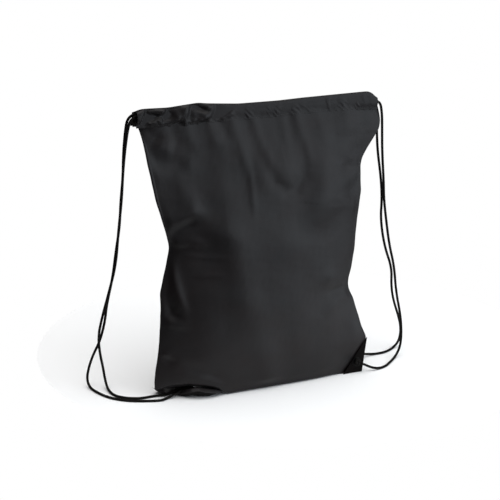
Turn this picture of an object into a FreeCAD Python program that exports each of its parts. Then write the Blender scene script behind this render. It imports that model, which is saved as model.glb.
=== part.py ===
"""Drawstring backpack, standing and lightly filled with air.

Millimetres. X is the width, Y the depth (the front faces -Y) and Z is up.
The origin is the centre of the bag's footprint, on the surface it stands on.

Two fabric panels are sewn together at the sides and along the bottom. A hem
casing along each top edge holds two drawcords: each one starts at a knot in
the eyelet of its own bottom corner, goes up to the top corner, through the
front casing, round the far side seam, back through the rear casing, and down
to the same knot.
"""
import FreeCAD
import Part

import math
import os

os.makedirs("parts", exist_ok=True)

V = FreeCAD.Vector

# ---- driving dimensions -------------------------------------------------
HEIGHT = 392.0           # standing height of the slumped 420 mm panels
CASING_HEIGHT = 22.0     # depth of the hem that holds the cords
CASING_LEFT = -177.0
CASING_RIGHT = 165.0
CASING_DEPTH = 7.0       # outside thickness of one casing, front to back
CASING_WALL = 1.1
MOUTH_MIDDLE = 11.0      # casing centre line to the mid plane, in the middle
MOUTH_END = 5.5          # the same at the two ends
WALL = 1.2               # fabric panel
SEAM_WIDTH = 5.0
SEAM_DEPTH = 2.4
BASE_THICK = 2.0         # turned-in fabric the bag stands on
CORD = 3.5               # drawcord diameter
LEFT_CORD_Z = 387.0      # the two cords lie one above the other in the casing
RIGHT_CORD_Z = 377.0
PATCH = 1.1              # leatherette reinforcement
EYELET_HOLE = 4.2        # radii of the metal eyelets
EYELET_BARREL = 5.0
EYELET_FLANGE = 6.8
FLANGE_THICK = 0.7
KNOT_RADIUS = 5.5
KNOT_HALF_DEPTH = 3.0

SEAM_TOP = HEIGHT - CASING_HEIGHT
RIGHT_EYELET = (136.5, 16.0)      # x, z: that corner stands upright
RIGHT_EAR_Y = -22.2               # plane between its two fabric layers
LEFT_EYELET = (-105.7, 8.9)       # x, y: that corner is folded under, flat
LEFT_EAR_Z = 3.0                  # plane between its two fabric layers

# height, left edge x y, right edge x y, front y, back y, squareness
SECTIONS = [
    (0.0, -78.0, -6.0, 112.0, -22.2, -25.0, 24.0, 5.0),
    (12.0, -88.0, -4.0, 122.0, -22.2, -30.0, 28.0, 4.0),
    (17.0, -150.0, 6.0, 126.0, -22.2, -31.0, 29.0, 3.5),
    (50.0, -152.0, 4.0, 153.0, -22.2, -35.0, 34.0, 2.6),
    (130.0, -146.0, 0.0, 127.0, -14.0, -38.0, 38.0, 2.2),
    (212.0, -134.0, 0.0, 141.0, -9.0, -38.0, 38.0, 2.2),
    (300.0, -155.0, 0.0, 147.0, -5.0, -34.0, 34.0, 2.2),
    (350.0, -169.0, 0.0, 177.0, -3.0, -23.0, 23.0, 2.2),
    (SEAM_TOP, -175.0, 0.0, 168.0, 0.0, -12.0, 12.0, 2.2),
]
CURVE_STEPS = (-1.0, -0.85, -0.55, 0.0, 0.55, 0.85, 1.0)


def save(name, shape):
    """Write one node, and say what it holds."""
    shape = shape.removeSplitter() if name not in CORD_NAMES else shape
    assert shape.isValid(), name
    shape.exportStep("parts/%s.step" % name)
    print("%-24s solids %d  volume %8.1f mm3" % (name, len(shape.Solids), shape.Volume))


# ---- the pouch ----------------------------------------------------------
def wall_curve(section, side, inset):
    """One panel's line at a height; side is -1 for the front, 1 for the back."""
    z, left_x, left_y, right_x, right_y, front, back, power = section
    bulge = (front if side < 0 else back) - side * inset
    points = []
    for step in CURVE_STEPS:
        share = (step + 1.0) / 2.0
        edge_y = left_y + share * (right_y - left_y)
        x = (left_x + SEAM_WIDTH) + share * (right_x - left_x - 2.0 * SEAM_WIDTH)
        crown = 1.0 - abs(step) ** power
        start_y = edge_y + side * (SEAM_DEPTH / 2.0 + WALL / 2.0 - inset)
        points.append(V(x, start_y + (bulge - start_y) * crown, z))
    curve = Part.BSplineCurve()
    curve.interpolate(points)
    return points, curve.toShape()


def panel_wall(side):
    """A panel's wall: thin crescents at each height, ruled together."""
    wires = []
    for section in SECTIONS:
        outer_points, outer = wall_curve(section, side, 0.0)
        inner_points, inner = wall_curve(section, side, WALL)
        right_end = Part.LineSegment(outer_points[-1], inner_points[-1]).toShape()
        left_end = Part.LineSegment(inner_points[0], outer_points[0]).toShape()
        wires.append(Part.Wire([outer, right_end, inner, left_end]))
    return Part.makeLoft(wires, True, True)


def base_half(side):
    """The turned-in bottom of one panel, up to the bottom seam."""
    _, curve = wall_curve(SECTIONS[0], side, WALL / 2.0)
    start, end = curve.Vertexes[0].Point, curve.Vertexes[-1].Point
    seam_y = side * SEAM_DEPTH / 4.0
    left_x = start.x + (8.0 if side < 0 else 0.0)
    corners = [end, V(end.x - 22.0, seam_y, 0.0), V(left_x, seam_y, 0.0), start]
    edges = [curve]
    for first, second in zip(corners, corners[1:]):
        if (second - first).Length > 1e-6:
            edges.append(Part.LineSegment(first, second).toShape())
    face = Part.Face(Part.Wire(Part.__sortEdges__(edges)))
    return face.extrude(V(0.0, 0.0, BASE_THICK))


def plate(points, thickness):
    """A flat plate from its outline and a thickness vector."""
    outline = [V(*p) for p in points]
    return Part.Face(Part.makePolygon(outline + [outline[0]])).extrude(V(*thickness))


def right_plate(outline, y, depth):
    """A plate in the upright right corner, from y towards the back."""
    return plate([(x, y, z) for x, z in outline], (0.0, depth, 0.0))


def left_plate(outline, z, depth):
    """A plate in the folded left corner, from z upwards."""
    return plate([(x, y, z) for x, y in outline], (0.0, 0.0, depth))


RIGHT_PATCH = [(116.0, 0.0), (145.5, 0.0), (152.5, 50.0)]
RIGHT_EAR = [(106.0, 0.0), (145.5, 0.0), (152.5, 50.0), (140.0, 50.0), (112.0, 12.0)]
LEFT_PATCH = [(-128.0, 5.0), (-93.6, -19.0), (-104.0, 39.0)]
LEFT_EAR_FRONT = [(-128.0, 5.0), (-93.6, -19.0), (-66.0, -19.0), (-66.0, -9.0), (-92.0, -9.0),
                  (-104.0, 39.0)]
LEFT_EAR_BACK = [(-128.0, 5.0), (-93.6, -19.0), (-90.0, 2.0), (-66.0, 2.0), (-66.0, 16.0),
                 (-96.0, 16.0), (-104.0, 39.0)]


def right_bore():
    x, z = RIGHT_EYELET
    return Part.makeCylinder(EYELET_BARREL, 40.0, V(x, RIGHT_EAR_Y - 20.0, z), V(0, 1, 0))


def left_bore():
    x, y = LEFT_EYELET
    return Part.makeCylinder(EYELET_BARREL, 11.0, V(x, y, 0.0), V(0, 0, 1))


def front_panel():
    shape = panel_wall(-1).fuse(base_half(-1))
    shape = shape.fuse(right_plate(RIGHT_EAR, RIGHT_EAR_Y - WALL, WALL))
    shape = shape.fuse(left_plate(LEFT_EAR_FRONT, LEFT_EAR_Z, WALL))
    return shape.cut(right_bore()).cut(left_bore())


def back_panel():
    shape = panel_wall(1).fuse(base_half(1))
    shape = shape.fuse(right_plate(RIGHT_EAR, RIGHT_EAR_Y, WALL))
    shape = shape.fuse(left_plate(LEFT_EAR_BACK, LEFT_EAR_Z - WALL, WALL))
    return shape.cut(right_bore()).cut(left_bore())


def side_seam(side):
    """The sewn edge strip, from the corner patch up to the casing."""
    wires = []
    for section in SECTIONS:
        z, left_x, left_y, right_x, right_y = section[:5]
        if z < 50.0:
            continue
        outer_x, y = (left_x, left_y) if side < 0 else (right_x, right_y)
        inner_x = outer_x - side * SEAM_WIDTH
        low, high = y - SEAM_DEPTH / 2.0, y + SEAM_DEPTH / 2.0
        corners = [V(outer_x, low, z), V(inner_x, low, z), V(inner_x, high, z), V(outer_x, high, z)]
        wires.append(Part.makePolygon(corners + corners[:1]))
    return Part.makeLoft(wires, True, True)


def bottom_seam():
    """The seam allowance that stands inside, along the middle of the bottom."""
    return Part.makeBox(146.0, SEAM_DEPTH / 2.0, 9.0, V(-64.0, -SEAM_DEPTH / 4.0, 0.0))


# ---- hem casings --------------------------------------------------------
HALF_CASING = (CASING_RIGHT - CASING_LEFT) / 2.0
CASING_MIDDLE = (CASING_RIGHT + CASING_LEFT) / 2.0
SAGITTA = MOUTH_MIDDLE - MOUTH_END
CASING_BEND = (HALF_CASING ** 2 + SAGITTA ** 2) / (2.0 * SAGITTA)
CASING_ANGLE = math.degrees(math.asin(HALF_CASING / CASING_BEND))


def round_topped(half_width, low, high):
    """A casing's section in the YZ plane: flat below, a half circle on top."""
    top = high - half_width
    edges = [
        Part.LineSegment(V(0, -half_width, top), V(0, -half_width, low)).toShape(),
        Part.LineSegment(V(0, -half_width, low), V(0, half_width, low)).toShape(),
        Part.LineSegment(V(0, half_width, low), V(0, half_width, top)).toShape(),
        Part.Arc(V(0, half_width, top), V(0, 0, high), V(0, -half_width, top)).toShape(),
    ]
    return Part.Wire(edges)


def along_casing(face, side):
    """Carry a section along the casing's slight bow."""
    face = face.copy()
    face.translate(V(CASING_MIDDLE, side * MOUTH_MIDDLE, 0.0))
    centre = V(CASING_MIDDLE, side * (MOUTH_MIDDLE - CASING_BEND), 0.0)
    face.rotate(centre, V(0, 0, 1), CASING_ANGLE)
    return face.revolve(centre, V(0, 0, 1), -2.0 * CASING_ANGLE)


def casing(side):
    outer = round_topped(CASING_DEPTH / 2.0, SEAM_TOP, HEIGHT)
    inner = round_topped(CASING_DEPTH / 2.0 - CASING_WALL, SEAM_TOP + CASING_WALL,
                         HEIGHT - CASING_WALL)
    return along_casing(Part.Face(outer), side).cut(along_casing(Part.Face(inner), side))


def casing_stitching(side):
    """The line of thread along the casing's lower edge, on its outside."""
    y = side * (CASING_DEPTH / 2.0)
    low, high = SEAM_TOP + 1.0, SEAM_TOP + 2.0
    corners = [V(0, y, low), V(0, y + side * 0.5, low), V(0, y + side * 0.5, high), V(0, y, high)]
    return along_casing(Part.Face(Part.makePolygon(corners + corners[:1])), side)


# ---- eyelets and knots --------------------------------------------------
def eyelet_pair():
    """Eyelet and washer about the Z axis, clamping the stack from z = 0 up."""
    stack = 2.0 * (PATCH + WALL)
    hole = Part.makeCylinder(EYELET_HOLE, stack + 2.0 * FLANGE_THICK, V(0, 0, -FLANGE_THICK))
    barrel = Part.makeCylinder(EYELET_BARREL, stack + FLANGE_THICK, V(0, 0, -FLANGE_THICK))
    flange = Part.makeCylinder(EYELET_FLANGE, FLANGE_THICK, V(0, 0, stack))
    washer = Part.makeCylinder(EYELET_FLANGE, FLANGE_THICK, V(0, 0, -FLANGE_THICK))
    return barrel.fuse(flange).cut(hole), washer.cut(barrel)


def knot():
    """A pulled-down overhand knot, resting on the eyelet's flange."""
    ball = Part.makeSphere(1.0)
    squash = FreeCAD.Matrix()
    squash.scale(KNOT_RADIUS, KNOT_RADIUS, KNOT_HALF_DEPTH)
    ball = ball.transformGeometry(squash)
    ball.translate(V(0, 0, 2.0 * (PATCH + WALL) + FLANGE_THICK + KNOT_HALF_DEPTH))
    return ball


def to_right_corner(shape):
    x, z = RIGHT_EYELET
    shape = shape.copy()
    shape.rotate(V(0, 0, 0), V(1, 0, 0), 90.0)
    shape.translate(V(x, RIGHT_EAR_Y + WALL + PATCH, z))
    return shape


def to_left_corner(shape):
    x, y = LEFT_EYELET
    shape = shape.copy()
    shape.translate(V(x, y, LEFT_EAR_Z - WALL - PATCH))
    return shape


# ---- drawcords ----------------------------------------------------------
# Hand-laid routes of the hanging strands, from the casing down to the knot.
LEFT_FRONT_ROUTE = [
    (-177.0, -5.5, 387.0), (-184.2, -6.0, 384.0), (-188.6, -4.4, 369.0), (-191.8, 1.0, 342.0),
    (-192.6, 5.0, 312.0), (-193.6, 8.0, 278.0), (-197.4, 14.0, 233.0), (-199.6, 20.6, 188.0),
    (-207.5, 31.0, 146.0), (-214.0, 40.0, 113.0), (-217.6, 49.0, 84.0), (-213.5, 58.0, 56.0),
    (-206.5, 67.0, 30.0), (-203.2, 69.0, 9.0), (-205.5, 50.0, 2.0), (-203.0, 28.0, 1.8),
    (-189.5, 13.8, 1.9), (-174.0, 7.0, 1.8), (-157.0, 7.6, 1.8), (-139.5, 9.6, 2.4),
    (-129.0, 11.0, 6.6), (-119.6, 11.8, 8.8), (-111.5, 11.3, 9.0),
]
LEFT_BACK_ROUTE = [
    (-177.0, 5.5, 387.0), (-183.6, 6.4, 384.0), (-187.4, 7.6, 367.0), (-189.2, 9.0, 338.0),
    (-197.8, 9.0, 300.0), (-197.2, 16.4, 256.0), (-205.6, 17.6, 212.0), (-201.4, 33.0, 168.0),
    (-208.0, 38.0, 130.0), (-208.8, 46.0, 102.0), (-213.0, 57.0, 72.0), (-220.2, 67.0, 50.0),
    (-223.6, 77.0, 29.0), (-224.4, 85.0, 10.0), (-225.0, 72.0, 1.9), (-221.5, 52.0, 1.8),
    (-214.5, 31.0, 1.8), (-203.5, 15.0, 1.9), (-189.5, 3.6, 1.8), (-171.0, -5.4, 1.8),
    (-152.0, -11.6, 1.8), (-140.0, -7.6, 2.4), (-130.0, -0.6, 6.6), (-120.0, 4.0, 8.8),
    (-111.2, 6.5, 9.0),
]
RIGHT_FRONT_ROUTE = [
    (165.0, -5.5, 377.0), (172.6, -5.4, 374.0), (178.0, -3.8, 361.0), (181.2, -1.0, 341.0),
    (183.4, 1.0, 308.0), (187.2, 1.4, 268.0), (189.0, 2.2, 240.0), (193.8, 3.0, 210.0),
    (201.2, 5.0, 172.0), (211.6, 7.0, 138.0), (217.0, 9.0, 99.0), (226.8, 11.0, 62.0),
    (230.4, 12.0, 34.0), (227.4, 9.6, 13.0), (216.0, 3.0, 2.0), (197.0, -14.0, 1.8),
    (184.0, -24.6, 1.8), (170.5, -29.2, 2.0), (158.0, -29.6, 5.4), (149.0, -28.6, 10.4),
    (142.2, -28.2, 13.8),
]
RIGHT_BACK_ROUTE = [
    (165.0, 5.5, 377.0), (171.6, 5.8, 373.6), (175.2, 6.4, 361.0), (177.2, 6.6, 340.0),
    (178.4, 6.2, 310.0), (184.0, 6.4, 272.0), (187.0, 7.0, 240.0), (188.6, 8.6, 210.0),
    (199.0, 13.0, 168.0), (213.6, 17.0, 133.0), (216.4, 22.0, 104.0), (223.0, 26.0, 80.0),
    (239.4, 34.0, 45.0), (245.6, 39.6, 24.0), (244.0, 43.0, 7.0), (233.0, 38.0, 1.8),
    (219.0, 28.4, 1.8), (205.0, 24.0, 1.8), (191.0, 24.6, 1.9), (177.0, 23.6, 4.6),
    (166.0, 16.0, 8.6), (156.0, 6.4, 12.4), (146.6, -3.4, 15.4), (139.0, -12.6, 16.0),
    (136.5, -19.0, 16.0), (136.5, -24.6, 16.0),
]
CORD_NAMES = ("left_front_strand", "left_back_strand", "left_cord_run",
              "right_front_strand", "right_back_strand", "right_cord_run")


def cord_path(points):
    """Straight runs joined by tangent arcs, each as large as its runs allow."""
    points = [V(*p) for p in points]
    edges, radii, start = [], [], points[0]
    for before, corner, after in zip(points, points[1:], points[2:]):
        back, ahead = before - corner, after - corner
        shorter = min(back.Length, ahead.Length)
        back.normalize()
        ahead.normalize()
        half_turn = (math.pi - back.getAngle(ahead)) / 2.0
        radius = 0.45 * shorter / math.tan(half_turn)
        radii.append(radius)
        arc_start = corner + back * (0.45 * shorter)
        arc_end = corner + ahead * (0.45 * shorter)
        middle = (back + ahead).normalize()
        top = corner + middle * (radius / math.cos(half_turn) - radius)
        edges.append(Part.LineSegment(start, arc_start).toShape())
        edges.append(Part.Arc(arc_start, top, arc_end).toShape())
        start = arc_end
    edges.append(Part.LineSegment(start, points[-1]).toShape())
    return Part.Wire(edges), radii


def round_tube(wire, at, direction):
    """Sweep the cord's round section along a wire, and compare its volume."""
    section = Part.Wire(Part.makeCircle(CORD / 2.0, at, direction))
    tube = wire.makePipeShell([section], True, False)
    length = sum(edge.Length for edge in wire.Edges)
    ideal = length * math.pi * CORD ** 2 / 4.0
    print("  cord length %.0f mm, volume ratio %.4f" % (length, tube.Volume / ideal))
    return tube


def strand(name, route):
    wire, radii = cord_path(route)
    runs = [(V(*b) - V(*a)).Length for a, b in zip(route, route[1:])]
    print("%s: smallest radius %.0f mm, runs %.0f to %.0f mm, radii %s"
          % (name, min(radii), min(runs), max(runs), " ".join("%.0f" % r for r in radii)))
    return round_tube(wire, V(*route[0]), V(*route[1]) - V(*route[0]))


def cord_run(far_side, z):
    """A cord inside both casings, with its turn round the far side seam."""
    middle = V(CASING_MIDDLE, 0.0, z)
    slope = math.radians(CASING_ANGLE)
    turn = MOUTH_END / math.cos(slope)
    edges = []
    near = -far_side * HALF_CASING
    far = far_side * HALF_CASING
    front = [V(near, -MOUTH_END, 0), V(0, -MOUTH_MIDDLE, 0), V(far, -MOUTH_END, 0)]
    back = [V(far, MOUTH_END, 0), V(0, MOUTH_MIDDLE, 0), V(near, MOUTH_END, 0)]
    tip = V(far + far_side * (turn - turn * math.sin(slope)), 0, 0)
    for points in (front, [front[2], tip, back[0]], back):
        edges.append(Part.Arc(*[middle + p for p in points]).toShape())
    start = middle + front[0]
    return round_tube(Part.Wire(edges), start, edges[0].tangentAt(edges[0].FirstParameter))


# ---- the nodes ----------------------------------------------------------
save("front_panel", front_panel())
save("back_panel", back_panel())
save("left_side_seam", side_seam(-1))
save("right_side_seam", side_seam(1))
save("bottom_seam", bottom_seam())
for side_name, side in (("front", -1), ("back", 1)):
    save(side_name + "_casing", casing(side))
    save(side_name + "_casing_stitching", casing_stitching(side))

save("right_front_patch",
     right_plate(RIGHT_PATCH, RIGHT_EAR_Y - WALL - PATCH, PATCH).cut(right_bore()))
save("right_back_patch", right_plate(RIGHT_PATCH, RIGHT_EAR_Y + WALL, PATCH).cut(right_bore()))
save("left_front_patch", left_plate(LEFT_PATCH, LEFT_EAR_Z + WALL, PATCH).cut(left_bore()))
save("left_back_patch",
     left_plate(LEFT_PATCH, LEFT_EAR_Z - WALL - PATCH, PATCH).cut(left_bore()))

eyelet, washer = eyelet_pair()
for corner, place in (("left", to_left_corner), ("right", to_right_corner)):
    save(corner + "_eyelet", place(eyelet))
    save(corner + "_eyelet_washer", place(washer))
    save(corner + "_knot", place(knot()))

save("left_front_strand", strand("left_front_strand", LEFT_FRONT_ROUTE))
save("left_back_strand", strand("left_back_strand", LEFT_BACK_ROUTE))
save("right_front_strand", strand("right_front_strand", RIGHT_FRONT_ROUTE))
save("right_back_strand", strand("right_back_strand", RIGHT_BACK_ROUTE))
save("left_cord_run", cord_run(1, LEFT_CORD_Z))
save("right_cord_run", cord_run(-1, RIGHT_CORD_Z))
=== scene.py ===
"""Looks of the black drawstring backpack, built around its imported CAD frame.

Metres, in the row frame: X is the width, the front faces -Y, Z is up. Shape
tables are in millimetres, as in the CAD source, and are scaled as they are read.
"""

import math

import bpy
import numpy as np
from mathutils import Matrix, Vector


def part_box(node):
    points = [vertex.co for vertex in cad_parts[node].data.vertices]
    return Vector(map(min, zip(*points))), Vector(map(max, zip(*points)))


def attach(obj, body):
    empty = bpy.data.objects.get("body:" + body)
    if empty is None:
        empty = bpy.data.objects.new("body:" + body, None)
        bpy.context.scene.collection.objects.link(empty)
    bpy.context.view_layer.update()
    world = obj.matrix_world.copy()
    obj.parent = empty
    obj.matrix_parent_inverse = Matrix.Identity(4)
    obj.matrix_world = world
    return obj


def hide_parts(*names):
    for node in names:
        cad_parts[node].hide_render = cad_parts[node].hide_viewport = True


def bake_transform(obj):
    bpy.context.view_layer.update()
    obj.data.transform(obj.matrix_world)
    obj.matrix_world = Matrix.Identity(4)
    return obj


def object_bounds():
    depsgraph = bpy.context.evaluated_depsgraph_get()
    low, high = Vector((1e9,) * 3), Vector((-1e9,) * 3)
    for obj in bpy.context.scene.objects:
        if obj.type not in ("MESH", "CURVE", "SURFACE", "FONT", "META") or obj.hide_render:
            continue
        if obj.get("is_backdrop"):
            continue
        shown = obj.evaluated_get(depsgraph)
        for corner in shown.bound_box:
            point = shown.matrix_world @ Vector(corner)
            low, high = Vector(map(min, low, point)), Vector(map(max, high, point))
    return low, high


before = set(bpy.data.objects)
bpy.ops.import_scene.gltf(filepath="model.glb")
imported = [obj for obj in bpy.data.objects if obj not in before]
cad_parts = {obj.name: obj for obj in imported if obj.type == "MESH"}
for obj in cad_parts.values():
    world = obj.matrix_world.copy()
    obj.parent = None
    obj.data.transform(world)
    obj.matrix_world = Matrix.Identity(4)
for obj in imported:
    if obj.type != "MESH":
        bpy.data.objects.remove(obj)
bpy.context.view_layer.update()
scene = bpy.context.scene
MM = 0.001

# ---- camera ----
AZIMUTH, ELEVATION = -24.456, 16.381    # degrees
TARGET = Vector((-0.016862, 0.0, 0.191593))
DISTANCE = 1.8794
LENS, SENSOR = 100.8, 36.0


def toward(azimuth, elevation):
    """Unit vector from the object towards an azimuth and elevation in degrees."""
    azimuth, elevation = math.radians(azimuth), math.radians(elevation)
    return Vector((math.sin(azimuth) * math.cos(elevation),
                   -math.cos(azimuth) * math.cos(elevation), math.sin(elevation)))


def aimed(name, data, place, away):
    """An object at a place, looking along the opposite of away."""
    obj = bpy.data.objects.new(name, data)
    scene.collection.objects.link(obj)
    obj.location = place
    obj.rotation_euler = (-away).to_track_quat("-Z", "Y").to_euler()
    return obj


camera_data = bpy.data.cameras.new("camera")
camera_data.sensor_width = SENSOR
camera_data.lens = LENS
view_direction = toward(AZIMUTH, ELEVATION)
scene.camera = aimed("camera", camera_data, TARGET + view_direction * DISTANCE, view_direction)


# ---- node materials ----
def set_inputs(node, values):
    for key, value in values.items():
        node.inputs[key].default_value = value


def add_node(tree, kind, inputs=None, **settings):
    """A new node with these input values and settings."""
    node = tree.nodes.new(kind)
    set_inputs(node, inputs or {})
    for key, value in settings.items():
        setattr(node, key, value)
    return node


def new_material(name, specular=0.5):
    """A material, its tree and shader, and the piece's own coordinates."""
    material = bpy.data.materials.new(name)
    material.use_nodes = True
    tree = material.node_tree
    shader = tree.nodes["Principled BSDF"]
    set_inputs(shader, {"Specular IOR Level": specular})
    return material, tree, shader, add_node(tree, "ShaderNodeTexCoord").outputs["Object"]


def two_tones(tree, shader, source, stops):
    """Base colour from a value socket, between two (position, colour) stops."""
    ramp = add_node(tree, "ShaderNodeValToRGB")
    for element, (position, colour) in zip(ramp.color_ramp.elements, stops):
        element.position = position
        element.color = (*colour, 1.0)
    tree.links.new(source, ramp.inputs["Fac"])
    tree.links.new(ramp.outputs["Color"], shader.inputs["Base Color"])


def roughness_between(tree, shader, source, low, high):
    """Roughness from a value socket."""
    node = add_node(tree, "ShaderNodeMapRange", {"To Min": low, "To Max": high})
    tree.links.new(source, node.inputs["Value"])
    tree.links.new(node.outputs["Result"], shader.inputs["Roughness"])


def bump_chain(tree, shader, layers):
    """Stack bump layers: (height socket, strength, distance in metres)."""
    normal = None
    for height, strength, distance in layers:
        bump = add_node(tree, "ShaderNodeBump", {"Strength": strength, "Distance": distance})
        tree.links.new(height, bump.inputs["Height"])
        if normal is not None:
            tree.links.new(normal, bump.inputs["Normal"])
        normal = bump.outputs["Normal"]
    tree.links.new(normal, shader.inputs["Normal"])


def noise_node(tree, vector, scale, detail=3.0, roughness=0.5):
    noise = add_node(tree, "ShaderNodeTexNoise",
                     {"Scale": scale, "Detail": detail, "Roughness": roughness})
    tree.links.new(vector, noise.inputs["Vector"])
    return noise.outputs["Fac"]


def thread_wave(tree, vector, axis, pitch):
    """Sine bands with that pitch in metres; a scale of 1 is 20 radians a unit."""
    wave = add_node(tree, "ShaderNodeTexWave", {"Scale": 2.0 * math.pi / (20.0 * pitch)},
                    wave_type="BANDS", bands_direction=axis)
    tree.links.new(vector, wave.inputs["Vector"])
    return wave.outputs["Fac"]


def multiply(tree, first, second):
    node = add_node(tree, "ShaderNodeMath", operation="MULTIPLY")
    tree.links.new(first, node.inputs[0])
    tree.links.new(second, node.inputs[1])
    return node.outputs[0]


YARN_PITCH = 0.00045    # of the plain weave, in metres


def fabric_material():
    """Black coated nylon: a fine plain weave, faint crinkles and a satin sheen."""
    material, tree, shader, place = new_material("black_nylon", specular=0.21)
    blotch = noise_node(tree, place, 26.0, 3.0, 0.55)
    two_tones(tree, shader, blotch, [(0.35, (0.0078, 0.0058, 0.0061)),
                                     (0.65, (0.0076, 0.0065, 0.0070))])
    streak = noise_node(tree, place, 70.0, 4.0, 0.6)
    roughness_between(tree, shader, streak, 0.43, 0.50)
    set_inputs(shader, {"Sheen Weight": 0.02, "Sheen Roughness": 0.4})
    weave = multiply(tree, *(thread_wave(tree, place, axis, YARN_PITCH) for axis in "XZ"))
    crinkle = noise_node(tree, place, 240.0, 5.0, 0.62)
    ripple = noise_node(tree, place, 60.0, 3.0, 0.5)
    bump_chain(tree, shader, [(ripple, 0.15, 0.0010), (crinkle, 0.22, 0.0003),
                              (weave, 0.25, 0.00006)])
    return material


def cord_material():
    """Braided black polyester."""
    material, tree, shader, place = new_material("black_braid", specular=0.1)
    tone = noise_node(tree, place, 420.0, 3.0)
    two_tones(tree, shader, tone, [(0.3, (0.0016, 0.0013, 0.0011)),
                                   (0.7, (0.0064, 0.0052, 0.0044))])
    roughness_between(tree, shader, tone, 0.62, 0.80)
    fibre = noise_node(tree, place, 2600.0, 4.0, 0.7)
    bump_chain(tree, shader, [(fibre, 0.5, 0.00012)])
    return material


def thread_material():
    """Plain black sewing thread."""
    material, tree, shader, place = new_material("black_thread")
    tone = noise_node(tree, place, 900.0, 2.0)
    two_tones(tree, shader, tone, [(0.3, (0.005, 0.005, 0.005)), (0.7, (0.012, 0.012, 0.012))])
    set_inputs(shader, {"Roughness": 0.6})
    bump_chain(tree, shader, [(noise_node(tree, place, 4000.0, 2.0), 0.5, 0.0001)])
    return material


def leather_material():
    """Fine-grained leatherette, very dark with a warm cast."""
    material, tree, shader, place = new_material("leatherette", specular=0.05)
    tone = noise_node(tree, place, 130.0, 4.0)
    two_tones(tree, shader, tone, [(0.35, (0.0010, 0.0006, 0.0005)),
                                   (0.68, (0.0026, 0.0014, 0.0011))])
    roughness_between(tree, shader, tone, 0.42, 0.60)
    grain = add_node(tree, "ShaderNodeTexVoronoi", {"Scale": 1150.0}, feature="DISTANCE_TO_EDGE")
    tree.links.new(place, grain.inputs["Vector"])
    bump_chain(tree, shader, [(noise_node(tree, place, 160.0, 3.0), 0.4, 0.0006),
                              (grain.outputs["Distance"], 0.5, 0.00015)])
    return material


def metal_material():
    """Black lacquer over pressed metal, rubbed a little at random."""
    material, tree, shader, place = new_material("lacquered_metal", specular=0.15)
    rub = noise_node(tree, place, 300.0, 4.0, 0.6)
    two_tones(tree, shader, rub, [(0.40, (0.002, 0.002, 0.002)), (0.72, (0.007, 0.006, 0.006))])
    roughness_between(tree, shader, rub, 0.34, 0.52)
    set_inputs(shader, {"Metallic": 0.4})
    bump_chain(tree, shader, [(noise_node(tree, place, 900.0, 2.0), 0.25, 0.0001)])
    return material


def floor_material():
    """A matt, nearly white studio floor."""
    material, tree, shader, place = new_material("pale_floor", specular=0.2)
    two_tones(tree, shader, noise_node(tree, place, 3.0, 2.0), [(0.3, (0.95, 0.95, 0.95)),
                                                                (0.7, (0.97, 0.97, 0.97))])
    set_inputs(shader, {"Roughness": 0.6})
    return material


FABRIC = fabric_material()
BRAID = cord_material()
THREAD = thread_material()
LEATHER = leather_material()
METAL = metal_material()


# ---- meshes ----
def link_mesh(name, vertices, faces, material, normals=None):
    """A smooth-shaded mesh object; vertices in metres."""
    mesh = bpy.data.meshes.new(name)
    mesh.from_pydata(np.asarray(vertices).tolist(), [], faces)
    mesh.polygons.foreach_set("use_smooth", [True] * len(mesh.polygons))
    mesh.materials.append(material)
    if normals is not None:
        mesh.normals_split_custom_set_from_vertices(np.asarray(normals).tolist())
    obj = bpy.data.objects.new(name, mesh)
    scene.collection.objects.link(obj)
    return obj


def grid_faces(rows, columns, closed=False, offset=0, flip=False):
    """Quads of a row-major grid; closed joins the last column to the first."""
    faces = []
    for i in range(rows - 1):
        for j in range(columns if closed else columns - 1):
            k = (j + 1) % columns
            quad = (offset + i * columns + j, offset + i * columns + k,
                    offset + (i + 1) * columns + k, offset + (i + 1) * columns + j)
            faces.append(quad[::-1] if flip else quad)
    return faces


def grid_normals(grid):
    """Unit normals of a (rows, columns, 3) grid, from its own slopes."""
    normal = np.cross(np.gradient(grid, axis=1), np.gradient(grid, axis=0))
    return normal / np.maximum(np.linalg.norm(normal, axis=2, keepdims=True), 1e-12)


def cloth_shell(name, grid, normals, thickness):
    """Two layers from one grid, its outer face on the grid, closed round the rim."""
    if (grid_normals(grid) * normals).sum() > 0.0:
        grid, normals = grid[:, ::-1], normals[:, ::-1]    # so the outer faces wind outwards
    rows, columns = grid.shape[:2]
    inner = grid - normals * thickness
    vertices = np.concatenate([grid.reshape(-1, 3), inner.reshape(-1, 3)])
    both = np.concatenate([normals.reshape(-1, 3), -normals.reshape(-1, 3)])
    count = rows * columns
    faces = grid_faces(rows, columns, flip=True)
    faces += grid_faces(rows, columns, offset=count)
    rim = (list(range(columns))
           + [i * columns + columns - 1 for i in range(1, rows)]
           + [(rows - 1) * columns + j for j in range(columns - 2, -1, -1)]
           + [i * columns for i in range(rows - 2, 0, -1)])
    for a, b in zip(rim, rim[1:] + rim[:1]):
        faces.append((a, b, b + count, a + count))
    return link_mesh(name, vertices, faces, FABRIC, both)


def smoothstep(low, high, x):
    t = np.clip((x - low) / (high - low), 0.0, 1.0)
    return t * t * (3.0 - 2.0 * t)


def waves(seed, count, shortest, longest):
    """Random plane waves as (kx, kz, phase, amplitude), lengths in millimetres."""
    rng = np.random.default_rng(seed)
    length = shortest * (longest / shortest) ** rng.random(count)
    angle = rng.random(count) * 2.0 * math.pi
    k = 2.0 * math.pi / length
    share = length / longest
    return np.stack([k * np.cos(angle), k * np.sin(angle),
                     rng.random(count) * 2.0 * math.pi, share], axis=1)


def roll(x, z, table):
    """Sum of the waves at x, z, about -1 to 1."""
    total = np.zeros_like(x)
    for kx, kz, phase, amplitude in table:
        total += amplitude * np.sin(kx * x + kz * z + phase)
    return total / np.sqrt((table[:, 3] ** 2).sum())


FADE_SHARE = 0.4


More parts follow.
